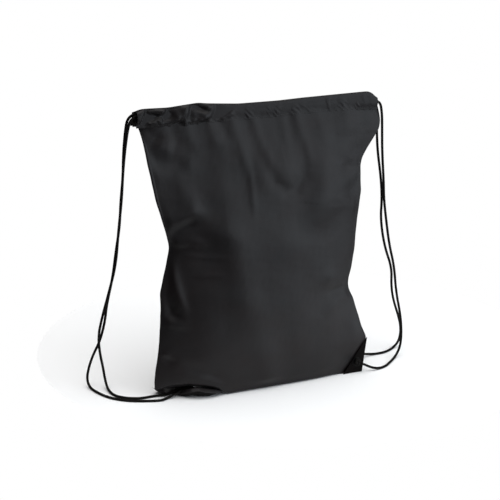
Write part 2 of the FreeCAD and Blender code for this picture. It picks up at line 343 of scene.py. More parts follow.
def fold(x, z, line, width, height, fades="both"):
    """A soft ridge along a line of x, z points; a crease where height is negative.

    It fades out over FADE_SHARE of its length at its head, its tail, both or none.
    """
    line = np.array(line, float)
    lengths = np.linalg.norm(np.diff(line, axis=0), axis=1)
    total = lengths.sum()
    nearest = np.full(x.shape, 1e9)
    along = np.zeros_like(x)
    before = 0.0
    for (ax, az), (bx, bz), length in zip(line, line[1:], lengths):
        dx, dz = (bx - ax) / length, (bz - az) / length
        s = np.clip((x - ax) * dx + (z - az) * dz, 0.0, length)
        d = np.hypot(x - ax - s * dx, z - az - s * dz)
        along = np.where(d < nearest, before + s, along)
        nearest = np.minimum(d, nearest)
        before += length
    fade = np.ones_like(x)
    if fades in ("both", "head"):
        fade *= smoothstep(0.0, FADE_SHARE * total, along)
    if fades in ("both", "tail"):
        fade *= smoothstep(0.0, FADE_SHARE * total, total - along)
    return height * np.exp(-(nearest / width) ** 2) * fade


# ---- drawcords ----
CORD = 3.5    # diameter in mm
# x, y, z of each route's points, in mm, from the casing to the knot
LEFT_FRONT_ROUTE = [
    (-177, -5.5, 387), (-184.2, -6, 384), (-187.9, -4.4, 369), (-190.4, 0.6, 342),
    (-192.4, 4.6, 312), (-193.6, 8, 278), (-197.4, 14, 233), (-199.6, 20.6, 188), (-207.5, 31, 146),
    (-214, 40, 113), (-217.6, 49, 84), (-213.5, 58, 56), (-206.5, 67, 30), (-203.2, 69, 9),
    (-205.5, 50, 2), (-203, 28, 1.8), (-189.5, 13.2, 1.9), (-174, 6.6, 1.8), (-161, 6.8, 1.8),
    (-150, 6.6, 1.8), (-141, 3.4, 2.4), (-132, 1.4, 4.4), (-123, 2.4, 7.2), (-114.5, 2.4, 8.6),
    (-108, 2.2, 8.8),
]
LEFT_BACK_ROUTE = [
    (-177, 5.5, 387), (-183.6, 6.4, 384), (-187, 7, 367), (-189.8, 8.2, 338), (-191, 8.8, 306),
    (-193.4, 13.2, 274), (-193.8, 18.2, 240), (-198.8, 22.6, 204), (-200.6, 32, 168),
    (-208, 38, 130), (-208.8, 46, 102), (-213, 57, 72), (-220.2, 67, 50), (-223.6, 77, 29),
    (-224.4, 85, 10), (-225, 72, 1.9), (-221.5, 52, 1.8), (-214.5, 31, 1.8), (-203.5, 15, 1.9),
    (-189.5, 3.6, 1.8), (-171, -5.4, 1.8), (-151.4, -12, 1.8), (-144.5, -8.4, 2), (-137, -7.4, 3.6),
    (-129, -8, 6.2), (-122, -5.6, 8.4), (-114, -3, 9.2), (-107, -1.6, 9.2),
]
RIGHT_FRONT_ROUTE = [
    (165, -5.5, 380.4), (174.2, -5.4, 381.2), (178.8, -3.8, 363), (181.2, -1, 341), (183.4, 1, 308),
    (187.2, 1.4, 268), (189, 2.2, 240), (193.8, 3, 210), (201.2, 5, 172), (211.6, 7, 138),
    (217, 9, 99), (226.8, 11, 62), (230.4, 12, 34), (227.4, 9.6, 13), (216, 3, 2), (197, -14, 1.8),
    (184, -24.6, 1.8), (170.5, -29.2, 2), (158, -29.6, 5.4), (149, -28.6, 10.4),
    (142.2, -28.2, 13.8),
]
RIGHT_BACK_ROUTE = [
    (165, 5.5, 380), (172.4, 5.8, 380.4), (175.4, 6.4, 362), (177.2, 6.6, 340), (178.8, 6.2, 310),
    (185.4, 6.4, 272), (188.6, 7, 240), (188, 8.6, 210), (198, 13, 168), (213.6, 17, 133),
    (216.4, 22, 104), (223, 26, 80), (239.4, 34, 45), (245.6, 39.6, 24), (244, 43, 7),
    (233, 38, 1.8), (219, 28.4, 1.8), (205, 24, 1.8), (191, 24.6, 1.9), (177, 23.6, 4.6),
    (166, 16, 8.6), (156, 6.4, 12.4), (146.6, -3.4, 15.4), (139, -12.6, 16), (136.5, -19, 16),
    (136.5, -24.6, 16),
]
# the runs inside the casings, out along the front and back along the back
LEFT_RUN_ROUTE = [
    (-177, -5.5, 387), (-166, -5.8, 387), (-130, -6.2, 387), (-76, -7.2, 387), (-6, -7.6, 386.6),
    (58, -7.4, 386.6), (118, -6.9, 386.6), (150, -6.4, 386.2), (162.4, -5.2, 385.8),
    (164.8, 0, 385.6), (162.4, 5.2, 385.2), (150, 6.4, 385.2), (118, 7, 385), (58, 7.4, 384.4),
    (-6, 7.6, 384), (-70, 7.4, 384.6), (-130, 6.8, 386.2), (-177, 5.5, 387),
]
RIGHT_RUN_ROUTE = [
    (165, -5.5, 380.4), (146, -6.4, 379.8), (118, -6.9, 379.4), (58, -7.4, 379.4), (-6, -7.6, 379),
    (-76, -7.2, 378.4), (-130, -6.2, 377.6), (-168, -5.2, 377), (-181.6, -5.2, 377),
    (-183.8, 0, 377), (-181.6, 5.2, 377), (-168, 6.2, 377), (-130, 6.8, 377), (-70, 7.4, 377),
    (-6, 7.6, 377), (58, 7.4, 377), (118, 7, 377.6), (146, 6.6, 378.6), (165, 5.5, 380),
]


def spline_line(name, route, spacing):
    """Evenly spaced points read from the route's NURBS spline, in metres."""
    curve = bpy.data.curves.new(name, "CURVE")
    curve.dimensions = "3D"
    curve.resolution_u = 20
    spline = curve.splines.new("NURBS")
    spline.points.add(len(route) - 1)
    for point, place in zip(spline.points, route):
        point.co = (*(value * MM for value in place), 1.0)
    spline.order_u = 3
    spline.use_endpoint_u = True
    holder = bpy.data.objects.new(name, curve)
    scene.collection.objects.link(holder)
    mesh = bpy.data.meshes.new_from_object(holder)
    points = np.array([v.co for v in mesh.vertices])
    bpy.data.objects.remove(holder)
    bpy.data.meshes.remove(mesh)
    return respaced(points, spacing)


def respaced(points, spacing):
    """The same line with evenly spaced points."""
    travel = np.concatenate([[0.0], np.cumsum(np.linalg.norm(np.diff(points, axis=0), axis=1))])
    count = max(4, int(round(travel[-1] / spacing)))
    at = np.linspace(0.0, travel[-1], count + 1)
    return np.stack([np.interp(at, travel, points[:, i]) for i in range(3)], axis=1)


SIDES = 16                # of a cord's tube
BRAID_PITCH = 0.0030
BRAID_RELIEF = 0.000132


def braided_tube(name, line, radius, closed=False):
    """A round braid along a line: crossed yarns stand out in a staggered pattern."""
    ahead = np.roll(line, -1, axis=0) - np.roll(line, 1, axis=0)
    if not closed:
        ahead[0], ahead[-1] = line[1] - line[0], line[-1] - line[-2]
    ahead /= np.linalg.norm(ahead, axis=1, keepdims=True)
    side = np.cross(ahead[0], (0.0, 0.0, 1.0) if abs(ahead[0][2]) < 0.9 else (1.0, 0.0, 0.0))
    side /= np.linalg.norm(side)
    rings = []
    step = float(np.linalg.norm(line[1] - line[0]))
    theta = np.arange(SIDES) * 2.0 * math.pi / SIDES
    for i, (point, direction) in enumerate(zip(line, ahead)):
        side = side - direction * side.dot(direction)
        side /= np.linalg.norm(side)
        up = np.cross(direction, side)
        yarns = np.cos(4.0 * theta) * math.cos(2.0 * math.pi * i * step / BRAID_PITCH)
        size = radius + BRAID_RELIEF * yarns
        rings.append(point + size[:, None] * (np.cos(theta)[:, None] * side
                                              + np.sin(theta)[:, None] * up))
    rings = np.array(rings)
    faces = grid_faces(len(line), SIDES, closed=True)
    vertices = rings.reshape(-1, 3)
    if closed:
        last = (len(line) - 1) * SIDES
        faces += [(last + j, last + (j + 1) % SIDES, (j + 1) % SIDES, j) for j in range(SIDES)]
    else:
        count = len(vertices)
        vertices = np.concatenate([vertices, line[:1], line[-1:]])
        last = (len(line) - 1) * SIDES
        for j in range(SIDES):
            k = (j + 1) % SIDES
            faces.append((k, j, count))
            faces.append((last + j, last + k, count + 1))
    return link_mesh(name, vertices, faces, BRAID)


RING_SPACING = 0.00072


def braided_cord(node, route):
    """The cord that takes a node's place, and its centre line."""
    line = spline_line(node + "_line", route, RING_SPACING)
    cord = braided_tube(node + "_braid", line, CORD / 2.0 * MM)
    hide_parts(node)
    return cord, line


# the strands hang free
for side, end, route in (("left", "front", LEFT_FRONT_ROUTE), ("left", "back", LEFT_BACK_ROUTE),
                         ("right", "front", RIGHT_FRONT_ROUTE),
                         ("right", "back", RIGHT_BACK_ROUTE)):
    strand, line = braided_cord("%s_%s_strand" % (side, end), route)
    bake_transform(strand)

# the runs lie inside the casings
for side, route in (("left", LEFT_RUN_ROUTE), ("right", RIGHT_RUN_ROUTE)):
    run, line = braided_cord(side + "_cord_run", route)
    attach(run, side + "_drawcord")

# ---- the pouch's outline ----
# z, x, y of the side seams, from the hem casing down
LEFT_EDGE = [(392, -178, 0), (375, -173, 0), (353, -168.4, -6), (318, -163.6, -13),
             (281, -156.4, -14), (255, -148.8, -14), (233, -141.8, -11), (218, -135.9, -5),
             (209, -133.9, -2), (200, -134.6, 0), (175, -140.5, 0), (148, -146.7, 0),
             (124, -146.4, 0.5), (95, -147.6, 1), (67, -150, 2), (45, -153, 3), (26, -156, 3),
             (13, -156, 3), (0, -156, 3)]
RIGHT_EDGE = [(393, 168, 0), (381, 171.6, 0), (366, 175, -0.8), (353, 177, -2), (342.6, 175, -3),
              (327, 164, -4), (315, 155, -4.3), (305, 148.6, -5), (294, 146, -5.3), (259, 147, -7),
              (232, 142.8, -8), (204, 139, -9.5), (176, 136, -11), (151, 131, -12.7),
              (137, 126.4, -13.6), (129, 125.5, -14), (122, 127, -14.6), (109.5, 133, -16),
              (89, 139, -18), (68, 144.6, -20.4), (51, 152, -22), (24.5, 149.6, -22.2),
              (2.6, 145.3, -22.2), (0, 145, -22.2)]
# z, front y, back y, squareness of the bulge
BULGE = [(0, -25, 24, 5), (12, -30, 28, 4), (17, -31, 29, 3.5), (50, -35, 34, 3),
         (130, -38, 38, 2.6), (200, -37, 38, 2.3), (250, -30, 37, 1.9), (300, -23, 34, 1.8),
         (345, -16.5, 24, 2.4), (370, -9.5, 9.5, 8), (392, -9.5, 9.5, 8)]
# x, z of the lower fold; the left corner hangs over its turned-under ear
FRONT_HEM = [(-157, 12.5), (-150, 14.5), (-144, 18), (-133, 20.8), (-121, 22), (-112, 21),
             (-105, 19), (-91.5, 17), (-79, 13.5), (-72, 8), (-66, 2), (-60, 1), (150, 1)]
BACK_HEM = [(-157, 13), (-140, 13), (-115, 12), (-95, 7), (-78, 1), (150, 1)]
CORNER_X = {-1: -156.0, 1: 145.0}      # of each half's bottom corner
PATCH_FOOT_X, PATCH_TOP_X, PATCH_TOP = 116.0, 152.5, 50.0    # the right patch's slanting edge
PATCH_GAP = 2.0


def smooth_table(table, at, column, blur=3.0):
    """A table's column where its first column is at, its corners rounded over blur mm."""
    columns = np.array(sorted(table), float).T
    return sum(0.2 * np.interp(at + shift * blur, columns[0], columns[column])
               for shift in (-1.0, -0.5, 0.0, 0.5, 1.0))


def edges_at(z):
    """x and y of the left seam, then of the right one, at heights z."""
    left_x, left_y = (smooth_table(LEFT_EDGE, z, i) for i in (1, 2))
    right_x, right_y = (smooth_table(RIGHT_EDGE, z, i) for i in (1, 2))
    return left_x, left_y, right_x, right_y


SEAM_REACH = 1.0    # the panels stop this far inside the outer edge
EAR_GAP = 0.55      # from the ear's mid plane to each of its fabric layers


def surface_y(x, z, side, half):
    """The unwrinkled panel's y; side -1 is the front, half -1 is the left."""
    left_x, left_y, right_x, right_y = edges_at(z)
    depth = smooth_table(BULGE, z, 1 if side < 0 else 2, 8.0)
    power = smooth_table(BULGE, z, 3, 8.0)
    if half < 0:
        edge_x = left_x
    else:
        slant = np.interp(z, (0.0, PATCH_TOP), (PATCH_FOOT_X, PATCH_TOP_X)) + PATCH_GAP
        edge_x = np.where(z < PATCH_TOP + PATCH_GAP, np.minimum(right_x, slant), right_x)
    t = np.clip(np.abs(x) / np.maximum(np.abs(edge_x), 1.0), 0.0, 1.0)
    middle = (left_y + right_y) / 2.0
    edge_y = (left_y if half < 0 else right_y) - middle
    line = middle + edge_y * np.clip(np.abs(x) / np.abs(left_x if half < 0 else right_x), 0, 1)
    start = line + side * EAR_GAP
    return start + (depth - start) * (1.0 - t ** power)


# ---- wrinkles ----
# points (x, z), width, height, and where it fades out if not at both ends
FRONT_FOLDS = [
    # the broad standing fold down the middle
    ([(-59, 330), (-58, 290), (-56, 205), (-36, 129), (-5, 21)], 24, 3.8, "head"),
    ([(-29, 330), (-25, 280), (-22, 230)], 5, 0.9),
    # the arc that sweeps from the upper left into the middle
    ([(-138, 326), (-122, 292), (-105, 261), (-79, 233), (-44, 217), (-10, 206)], 14, 2.4),
    ([(-130, 290), (-112, 264), (-88, 240), (-56, 218)], 12, -0.7),
    # the left notch: pleats that run in from the seam, and the hollow behind them
    ([(-134, 229), (-118, 238), (-100, 249)], 7, -2.2, "tail"),
    ([(-137, 246), (-118, 254), (-92, 268)], 10, 2.4, "tail"),
    ([(-134, 216), (-110, 219), (-80, 210)], 8, 2, "tail"),
    ([(-112, 206), (-88, 198), (-60, 178)], 24, -1.6),
    ([(-124, 200), (-96, 197), (-58, 194)], 4, 0.8),
    ([(-112, 170), (-92, 173), (-64, 172)], 4, 0.9),
    ([(-135, 212), (-132, 190), (-126, 150), (-115, 102)], 6, 3.8),
    ([(-148, 172), (-145, 145), (-136, 122), (-121, 108)], 7, -4.2),
    ([(-155, 110), (-138, 108), (-108, 102)], 7, 2, "tail"),
    # lower left
    ([(-130, 52), (-96, 38), (-58, 20)], 9, -3),
    ([(-134, 34), (-100, 24), (-56, 6)], 7, 1.6),
    ([(-156, 66), (-149, 65), (-134, 62)], 4, 1.6, "tail"),
    ([(-156, 58), (-144, 55), (-126, 50)], 5, -1.4, "tail"),
    # upper left
    ([(-156, 354), (-144, 346), (-126, 342)], 11, 2.2),
    ([(-156, 328), (-134, 322), (-106, 322)], 12, -2.2, "tail"),
    # the swag right of the middle, and the hollow beside it
    ([(-12, 340), (-4, 310), (10, 286), (26, 274), (38, 276), (48, 292), (54, 326)], 9, -1.7),
    ([(72, 330), (70, 290), (64, 244)], 15, -1),
    ([(-30, 313), (-4, 307), (24, 304), (54, 312)], 26, 3.8),
    ([(80, 350), (84, 300), (80, 250), (64, 200)], 30, 8),
    # the right notch and corner
    ([(126, 129), (104, 140), (70, 156)], 11, 1.8, "tail"),
    ([(126, 125), (104, 114), (76, 92)], 11, 1.8, "tail"),
    ([(126, 128), (108, 127), (84, 124)], 8, -1.8, "tail"),
    ([(146, 296), (126, 308), (98, 330)], 12, 1.5, "tail"),
    ([(146, 288), (124, 284), (96, 268)], 12, 1.3, "tail"),
    ([(146, 293), (128, 294), (108, 298)], 10, -1, "tail"),
    ([(142, 236), (124, 244), (100, 264)], 11, 1, "tail"),
    ([(120, 98), (132, 72), (140, 50)], 12, 1.4),
    # gathers below the casing
    ([(-166, 374), (-156, 362), (-140, 350)], 7, -1, "tail"),
    ([(-131, 375), (-126, 358), (-118, 340)], 7, -0.7, "tail"),
    ([(-112, 375), (-106, 354), (-92, 326)], 8, 0.7, "tail"),
    ([(-68, 377), (-61, 364), (-52, 342)], 7, -1, "tail"),
    ([(-80, 375), (-76, 360), (-68, 334)], 7, 0.7, "tail"),
    ([(-47, 377), (-42, 356), (-34, 322), (-28, 286)], 7, 1, "tail"),
    ([(-30, 375), (-22, 345), (-12, 316)], 7, -0.5, "tail"),
    ([(-18, 375), (-10, 350), (0, 322), (12, 296)], 7, 0.8, "tail"),
    ([(14, 375), (17, 352), (20, 326)], 7, -0.5, "tail"),
    ([(34, 375), (36, 352), (38, 324)], 7, -0.6, "tail"),
    ([(46, 375), (51, 352), (60, 322), (68, 296)], 7, 0.9, "tail"),
    ([(76, 375), (82, 352), (90, 322)], 8, 0.6, "tail"),
    ([(98, 375), (102, 350), (106, 322)], 8, -0.5, "tail"),
    ([(118, 375), (122, 350), (126, 318)], 8, 0.6, "tail"),
    ([(142, 375), (147, 356), (150, 336)], 9, -0.7, "tail"),
]
BACK_FOLDS = [
    ([(-140, 330), (-112, 300), (-78, 262), (-40, 240)], 10, 3),
    ([(-135, 214), (-112, 205), (-80, 186)], 7, 2.6, "tail"),
    ([(-134, 206), (-116, 214), (-92, 226)], 6, -2.6, "tail"),
    ([(-148, 148), (-130, 160), (-108, 178)], 9, 2, "tail"),
    ([(126, 129), (104, 140), (72, 150)], 7, 2.8, "tail"),
    ([(126, 126), (106, 112), (80, 96)], 7, 2.6, "tail"),
    ([(126, 130), (110, 126), (90, 122)], 5, -2.6, "tail"),
    ([(146, 296), (124, 308), (96, 324)], 8, 2.6, "tail"),
    ([(146, 290), (122, 282), (90, 262)], 8, 2.2, "tail"),
    ([(60, 330), (52, 280), (30, 200), (22, 120)], 22, 3),
    ([(-30, 300), (-44, 220), (-40, 130), (-56, 60)], 20, -2.6),
    ([(-100, 60), (-60, 44), (0, 40)], 10, 2.2),
    ([(20, 34), (60, 30), (104, 44)], 9, -2.2),
    ([(100, 90), (120, 70), (138, 52)], 8, 2),
] + [([(x, 373), (x + lean, 352), (x + 2 * lean, 332 - drop)], wide, high, "tail")
     for x, lean, drop, wide, high in (
         (-158, 5, 0, 5, -2), (-140, 4, 14, 5, 2.2), (-122, 4, 0, 4, -1.8), (-104, 3, 22, 5, 2.4),
         (-86, 4, 4, 4, -2), (-66, 2, 26, 5, 2.6), (-48, 2, 2, 4, -1.8), (-30, 0, 16, 4, 2),
         (-12, 0, 30, 5, -2.4), (8, -2, 6, 4, 2), (26, -2, 24, 5, -2), (44, -3, 10, 4, 2.2),
         (64, -3, 30, 5, -2.4), (84, -4, 8, 4, 2.2), (104, -4, 18, 5, -2), (124, -5, 6, 5, 2.4),
         (144, -5, 0, 5, -2))]
BROAD = {-1: waves(11, 14, 44.0, 130.0), 1: waves(23, 14, 38.0, 120.0)}
CRINKLE = {-1: waves(5, 26, 9.0, 34.0), 1: waves(6, 26, 9.0, 34.0)}


def relief(x, z, side):
    """How far the cloth stands out of its smooth bulge, in millimetres."""
    total = 0.6 * roll(x, z, BROAD[side]) + 0.08 * roll(x, z, CRINKLE[side])
    for one_fold in (FRONT_FOLDS if side < 0 else BACK_FOLDS):
        total += fold(x, z, *one_fold)
    return total


FABRIC_THICKNESS = 0.4
COLUMNS, COLUMN_SPREAD = 96, 0.92    # of each half, a little closer together at the seam
WALL_ROWS, TURN_ROWS, UNDER_ROWS = 240, 8, 26
WALL_TOP = 373.0
HEM_RADIUS = 3.5
EAR_EDGE = -80.0        # the left corner's cloth is turned under from here outwards
PATCH_Y = -22.2         # the mid plane of the right ear, which stands on the floor


def panel_grid(side, half):
    """One half of a panel, from the casing down and under to the bottom seam, in mm."""
    share = np.linspace(0.0, 1.0, COLUMNS) ** COLUMN_SPREAD
    foot_z = smooth_table(FRONT_HEM if side < 0 else BACK_HEM, share * CORNER_X[half], 1, 4.0)
    foot_z = foot_z + HEM_RADIUS
    v = np.linspace(0.0, 1.0, WALL_ROWS)[:, None]
    z = WALL_TOP + v * (foot_z - WALL_TOP)
    left_x, _, right_x, _ = edges_at(z)
    edge = (left_x + SEAM_REACH) if half < 0 else (right_x - SEAM_REACH)
    x = share * edge
    wall = np.stack([x, surface_y(x, z, side, half), z], axis=2)

    # the seam edges, the foot and the right patch stay in place
    hold = smoothstep(0.0, 12.0, np.abs(edge) * (1.0 - share)) * smoothstep(0.0, 14.0, z - foot_z)
    if half > 0:
        patch_x = np.interp(z, (0.0, PATCH_TOP, PATCH_TOP + 12.0),
                            (PATCH_FOOT_X, PATCH_TOP_X, 175.0))
        hold = hold * smoothstep(0.0, 10.0, patch_x - x)
    wall = wall + grid_outward(wall, side) * (relief(x, z, side) * hold)[:, :, None]

    low = wall[-1]
    room = inward_room(low)
    turn = []
    for step in range(1, TURN_ROWS + 1):
        angle = math.pi / 2.0 * step / TURN_ROWS
        row = low.copy()
        row[:, 1] -= side * HEM_RADIUS * (1.0 - math.cos(angle)) * room
        row[:, 2] -= HEM_RADIUS * math.sin(angle)
        turn.append(row)
    target = under_target(turn[-1], side, half)
    under = [turn[-1] + (target - turn[-1]) * (step / UNDER_ROWS)
             for step in range(1, UNDER_ROWS + 1)]
    return np.concatenate([wall, np.array(turn), np.array(under)])


def grid_outward(grid, side):
    """Normals turned to the front or the back."""
    normals = grid_normals(grid)
    return normals * np.where(normals[:, :, 1:2] * side < 0.0, -1.0, 1.0)


def inward_room(low):
    """The hem's turn is tight where the panel runs out at its corners."""
    middle_y = np.interp(low[:, 0], (-156.0, -70.0, 60.0, 112.0, 146.0),
                         (3.0, -2.0, -6.0, PATCH_Y, PATCH_Y))
    return smoothstep(0.0, 6.0, np.abs(low[:, 1] - middle_y))


def under_target(row, side, half):
    """Where the turned-under cloth ends: the bottom seam, or the folded ear's root."""
    target = row.copy()
    seam_y = 0.4 * side
    if half > 0:
        target[:, 1] = np.interp(row[:, 0], (0.0, 84.0, 112.0, 146.0),
                                 (seam_y, seam_y, PATCH_Y, PATCH_Y))
        target[:, 2] = 1.0
    else:
        over = smoothstep(-74.0, -84.0, row[:, 0])
        root_x = np.clip(row[:, 0], -78.0, 0.0)
        target[:, 0] = root_x * over + row[:, 0] * (1.0 - over)
        root_y = np.interp(row[:, 0], (-156.0, EAR_EDGE), (6.0, 18.0 if side > 0 else -16.0))
        target[:, 1] = root_y * over + seam_y * (1.0 - over)
        target[:, 2] = 1.0 + 4.0 * over
    return target


PANEL_SIDES = (("front", -1), ("back", 1))
HALVES = (("left", -1, "right_drawcord"), ("right", 1, "left_drawcord"))


def blend_top(obj):
    """Bake the piece's placement into its mesh; nothing of it follows the cords."""
    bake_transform(obj)


for side_name, side in PANEL_SIDES:
    grids = {half: panel_grid(side, half) for half in (-1, 1)}
    whole = np.concatenate([grids[-1][:, ::-1], grids[1][:, 1:]], axis=1)
    normals = grid_normals(whole)
    # the turn and underside face down, so every normal keeps the sense that is right on the wall
    normals = normals * np.sign(side * normals[: WALL_ROWS // 2, :, 1].mean())
    for half_name, half, body in HALVES:
        own = slice(None, COLUMNS) if half < 0 else slice(COLUMNS - 1, None)
        panel = cloth_shell("%s_panel_%s" % (side_name, half_name), whole[:, own] * MM,
                            normals[:, own], FABRIC_THICKNESS * MM)
        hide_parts(side_name + "_panel")
        blend_top(panel)

# ---- hem casings ----
CASING_LEFT, CASING_RIGHT = -177.0, 169.0
MOUTH_MIDDLE, MOUTH_END = 8.5, 6.5
# x, top z of each casing, and z of its stitching
FRONT_TOP = [(-178, 392.4), (-168, 396.2), (-134, 395.4), (-114, 397), (-93, 398.6), (-82, 397),
             (-60, 395.2), (-37, 393.4), (20, 393.2), (56, 394.3), (110, 395), (152, 395.4),
             (158, 394.6), (164, 389.8), (169, 384.6)]
BACK_TOP = [(-178, 389.8), (-165, 393.6), (-134, 392), (-93, 393.8), (-37, 389), (20, 388.8),
            (56, 389.8), (110, 391.4), (150, 392.6), (158, 391.6), (164, 387.2), (169, 382.4)]
FRONT_STITCH = [(-178, 373), (-100, 371.5), (-20, 372.2), (50, 373.4), (116, 373.4), (150, 372),
                (169, 370.6)]
BACK_STITCH = [(-178, 372.5), (0, 371.5), (150, 372), (169, 370.6)]
CASING_COLUMNS, CASING_RING = 200, 64    # along each half, and round it
CASING_THICKNESS = 0.45
FOOT = 1.5                               # how far the casing reaches below its stitching
# on the front casing: points (x, z), width, height, and where it fades out if not at both ends
CASING_FOLDS = [
    ([(-178, 374), (-171, 376), (-163, 382), (-156, 385)], 3.6, -6, "none"),
    ([(-160, 384), (-150, 385.5), (-136, 385.5), (-124, 388)], 3.8, -6, "tail"),
    ([(-172, 381), (-166, 387), (-158, 390)], 2.6, -3.6),
    ([(-172, 393), (-150, 392.6), (-126, 391)], 2.6, 1.4),
    ([(-166, 377), (-152, 376), (-138, 377)], 3.6, 1.6),
    ([(-133, 374), (-124, 381), (-118, 388)], 3, 1.6),
    ([(-128, 372), (-120, 376), (-116, 381)], 2.4, -3.4, "tail"),
    ([(-112, 372), (-109, 381), (-106, 392)], 3, 2.2, "tail"),
    ([(-106, 395), (-92, 391), (-74, 386)], 3.2, -5.4),
    ([(-98, 374), (-86, 378), (-76, 382)], 3.2, 1.6),
    ([(-90, 372), (-84, 375), (-78, 379)], 2.4, -2.6, "tail"),
    ([(-44, 391), (-58, 384), (-82, 374)], 2.2, -4.2, "tail"),
    ([(-42, 383), (-56, 378), (-68, 373)], 3.2, 1.6),
    ([(-10, 393), (-8, 387), (-6, 381)], 2.4, -2.8, "tail"),
    ([(22, 391), (30, 385), (40, 378)], 3, -1),
    ([(58, 391), (66, 385), (78, 379)], 3, -1),
    ([(92, 390), (98, 384), (108, 378)], 3, -0.9),
]
# x and depth of the gathers at the casing's front left: each rises slowly and drops at its end
CASING_SAW = [(-176, 0), (-171, -5.6), (-151, 0.6), (-148, 0), (-143, -5.8), (-120, 0.6), (-116, 0),
              (-111, -5.4), (-89, 0.8), (-82, 0.4), (-76, -2.6), (-58, 0), (-20, 0), (-12, -2.2),
              (-4, 0), (0, 0)]
HEM_RIPPLES = waves(31, 18, 9.0, 26.0)


def casing_grid(side):
    """The whole hem tube's outside as rows along x, in mm, with their x, stitch z and middle y."""
    middle_x = (CASING_LEFT + CASING_RIGHT) / 2.0
    half_length = (CASING_RIGHT - CASING_LEFT) / 2.0
    share = np.linspace(0.0, 1.0, CASING_COLUMNS)
    x = np.concatenate([(share * CASING_LEFT)[::-1], (share * CASING_RIGHT)[1:]])[:, None]
    top = smooth_table(FRONT_TOP if side < 0 else BACK_TOP, x, 1, 4.0)
    stitch = smooth_table(FRONT_STITCH if side < 0 else BACK_STITCH, x, 1, 4.0)
    stitch = stitch + 0.5 * np.sin(x * 2.0 * math.pi / 11.0 + 1.3 * np.sin(x / 17.0))
    line = MOUTH_MIDDLE - (MOUTH_MIDDLE - MOUTH_END) * ((x - middle_x) / half_length) ** 2
    panel_y = np.where(x < 0.0, surface_y(x, stitch, side, -1), surface_y(x, stitch, side, 1))
    # the foot stands at least a little proud, so the panel tucks in under it
    root = np.maximum(side * panel_y + relief(x, stitch, side) - line, 0.6)
    # the gathered cloth is bulkier at the front left
    bulk = smoothstep(-50.0, -100.0, x) * (side < 0)

    # pinched where it is sewn to the panel, full at the cords, round on top
    turns = [2.0 * math.pi * k / CASING_RING for k in range(CASING_RING)]
    out = np.array([math.sin(a) for a in turns])
    lift = np.array([0.5 - 0.5 * math.cos(a) for a in turns])
    z = stitch - FOOT + (top - stitch + FOOT) * lift
    full = 2.6 + np.where(out > 0.0, 4.8, 1.2) * bulk
    wide = full * np.array([math.sin(a / 2.0) ** 0.5 for a in turns])
    fuller = smoothstep(stitch - FOOT, stitch + 7.5, z)
    half_width = 0.5 + (wide - 0.5) * fuller
    squared = np.array([math.copysign(abs(a) ** 0.55, a) for a in out.tolist()])
    y = (root - 0.2) * (1.0 - fuller) + half_width * squared

    outer = smoothstep(0.0, 0.6, out)
    xs = np.repeat(x, CASING_RING, axis=1)
    above = z - stitch
    height = above / (top - stitch)
    belt = smoothstep(-0.1, 0.25, height) * (1.0 - 0.6 * smoothstep(0.7, 1.0, height))
    ripple = 0.30 * roll(xs, z * 0.35, HEM_RIPPLES) * belt
    if side < 0:
        gathers = np.interp(xs - 0.35 * above, *zip(*CASING_SAW))
        ripple = ripple + gathers * smoothstep(0.1, 0.4, height)
        for one_fold in CASING_FOLDS:
            ripple = ripple + fold(xs, z, *one_fold) * 0.8
    pucker = np.sin((xs + 1.1 * above) * 2.0 * math.pi / 8.4 + 3.0 * np.sin(xs / 23.0))
    pucker *= 0.12 + 0.08 * np.sin(xs / 8.3 + 1.7 * np.sin(xs / 31.0))
    ripple = ripple + pucker * np.exp(-((above - 5.0) / 6.5) ** 2)
    # no hollow is deeper than the cords inside
    floor = 2.2 - 1.4 * bulk
    y = np.where(outer > 0.0, np.maximum(y + ripple * outer, np.minimum(y, floor)), y)
    return np.stack([xs, side * (line + y), z], axis=2), x[:, 0], stitch[:, 0], line[:, 0]


def ring_normals(grid):
    """Outward unit normals of a tube's (along, around, 3) grid."""
    around = np.roll(grid, -1, axis=1) - np.roll(grid, 1, axis=1)
    normals = np.cross(np.gradient(grid, axis=0), around)
    normals /= np.maximum(np.linalg.norm(normals, axis=2, keepdims=True), 1e-12)
    centre = grid.mean(axis=1, keepdims=True)
    return normals * np.sign(((grid - centre) * normals).sum(axis=2).mean())


def tube_shell(name, grid, normals, thickness):
    """An open-ended fabric tube with real thickness, its outer face on the grid."""
    along, around = grid.shape[:2]
    count = along * around
    test = np.cross(grid[0, 1] - grid[0, 0], grid[1, 0] - grid[0, 0])
    flip = test.dot(normals[0, 0]) < 0.0
    faces = grid_faces(along, around, closed=True, flip=flip)
    faces += grid_faces(along, around, closed=True, offset=count, flip=not flip)
    for start in (0, (along - 1) * around):
        for j in range(around):
            k = (j + 1) % around
            quad = (start + j, start + k, count + start + k, count + start + j)
            faces.append(quad if (start == 0) != flip else quad[::-1])
    inner = grid - normals * thickness
    vertices = np.concatenate([grid.reshape(-1, 3), inner.reshape(-1, 3)])
    both = np.concatenate([normals.reshape(-1, 3), -normals.reshape(-1, 3)])
    return link_mesh(name, vertices, faces, FABRIC, both)


casings = {side: casing_grid(side) for _, side in PANEL_SIDES}
for side_name, side in PANEL_SIDES:
    grid = casings[side][0]
    normals = ring_normals(grid)
    for half_name, half, body in HALVES:
        own = slice(None, CASING_COLUMNS) if half < 0 else slice(CASING_COLUMNS - 1, None)
        hem = tube_shell("%s_casing_%s" % (side_name, half_name), grid[own] * MM, normals[own],
                         CASING_THICKNESS * MM)
        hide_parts(side_name + "_casing")
        blend_top(hem)


# ---- stitching ----
STITCH_SIZE, STITCH_LENGTH, STITCH_GAP = 0.24, 2.5, 0.9
STITCH_RINGS, STITCH_SIDES = 5, 6
STITCH_RISE = 1.2       # from the casing's nominal stitch line to the row of thread


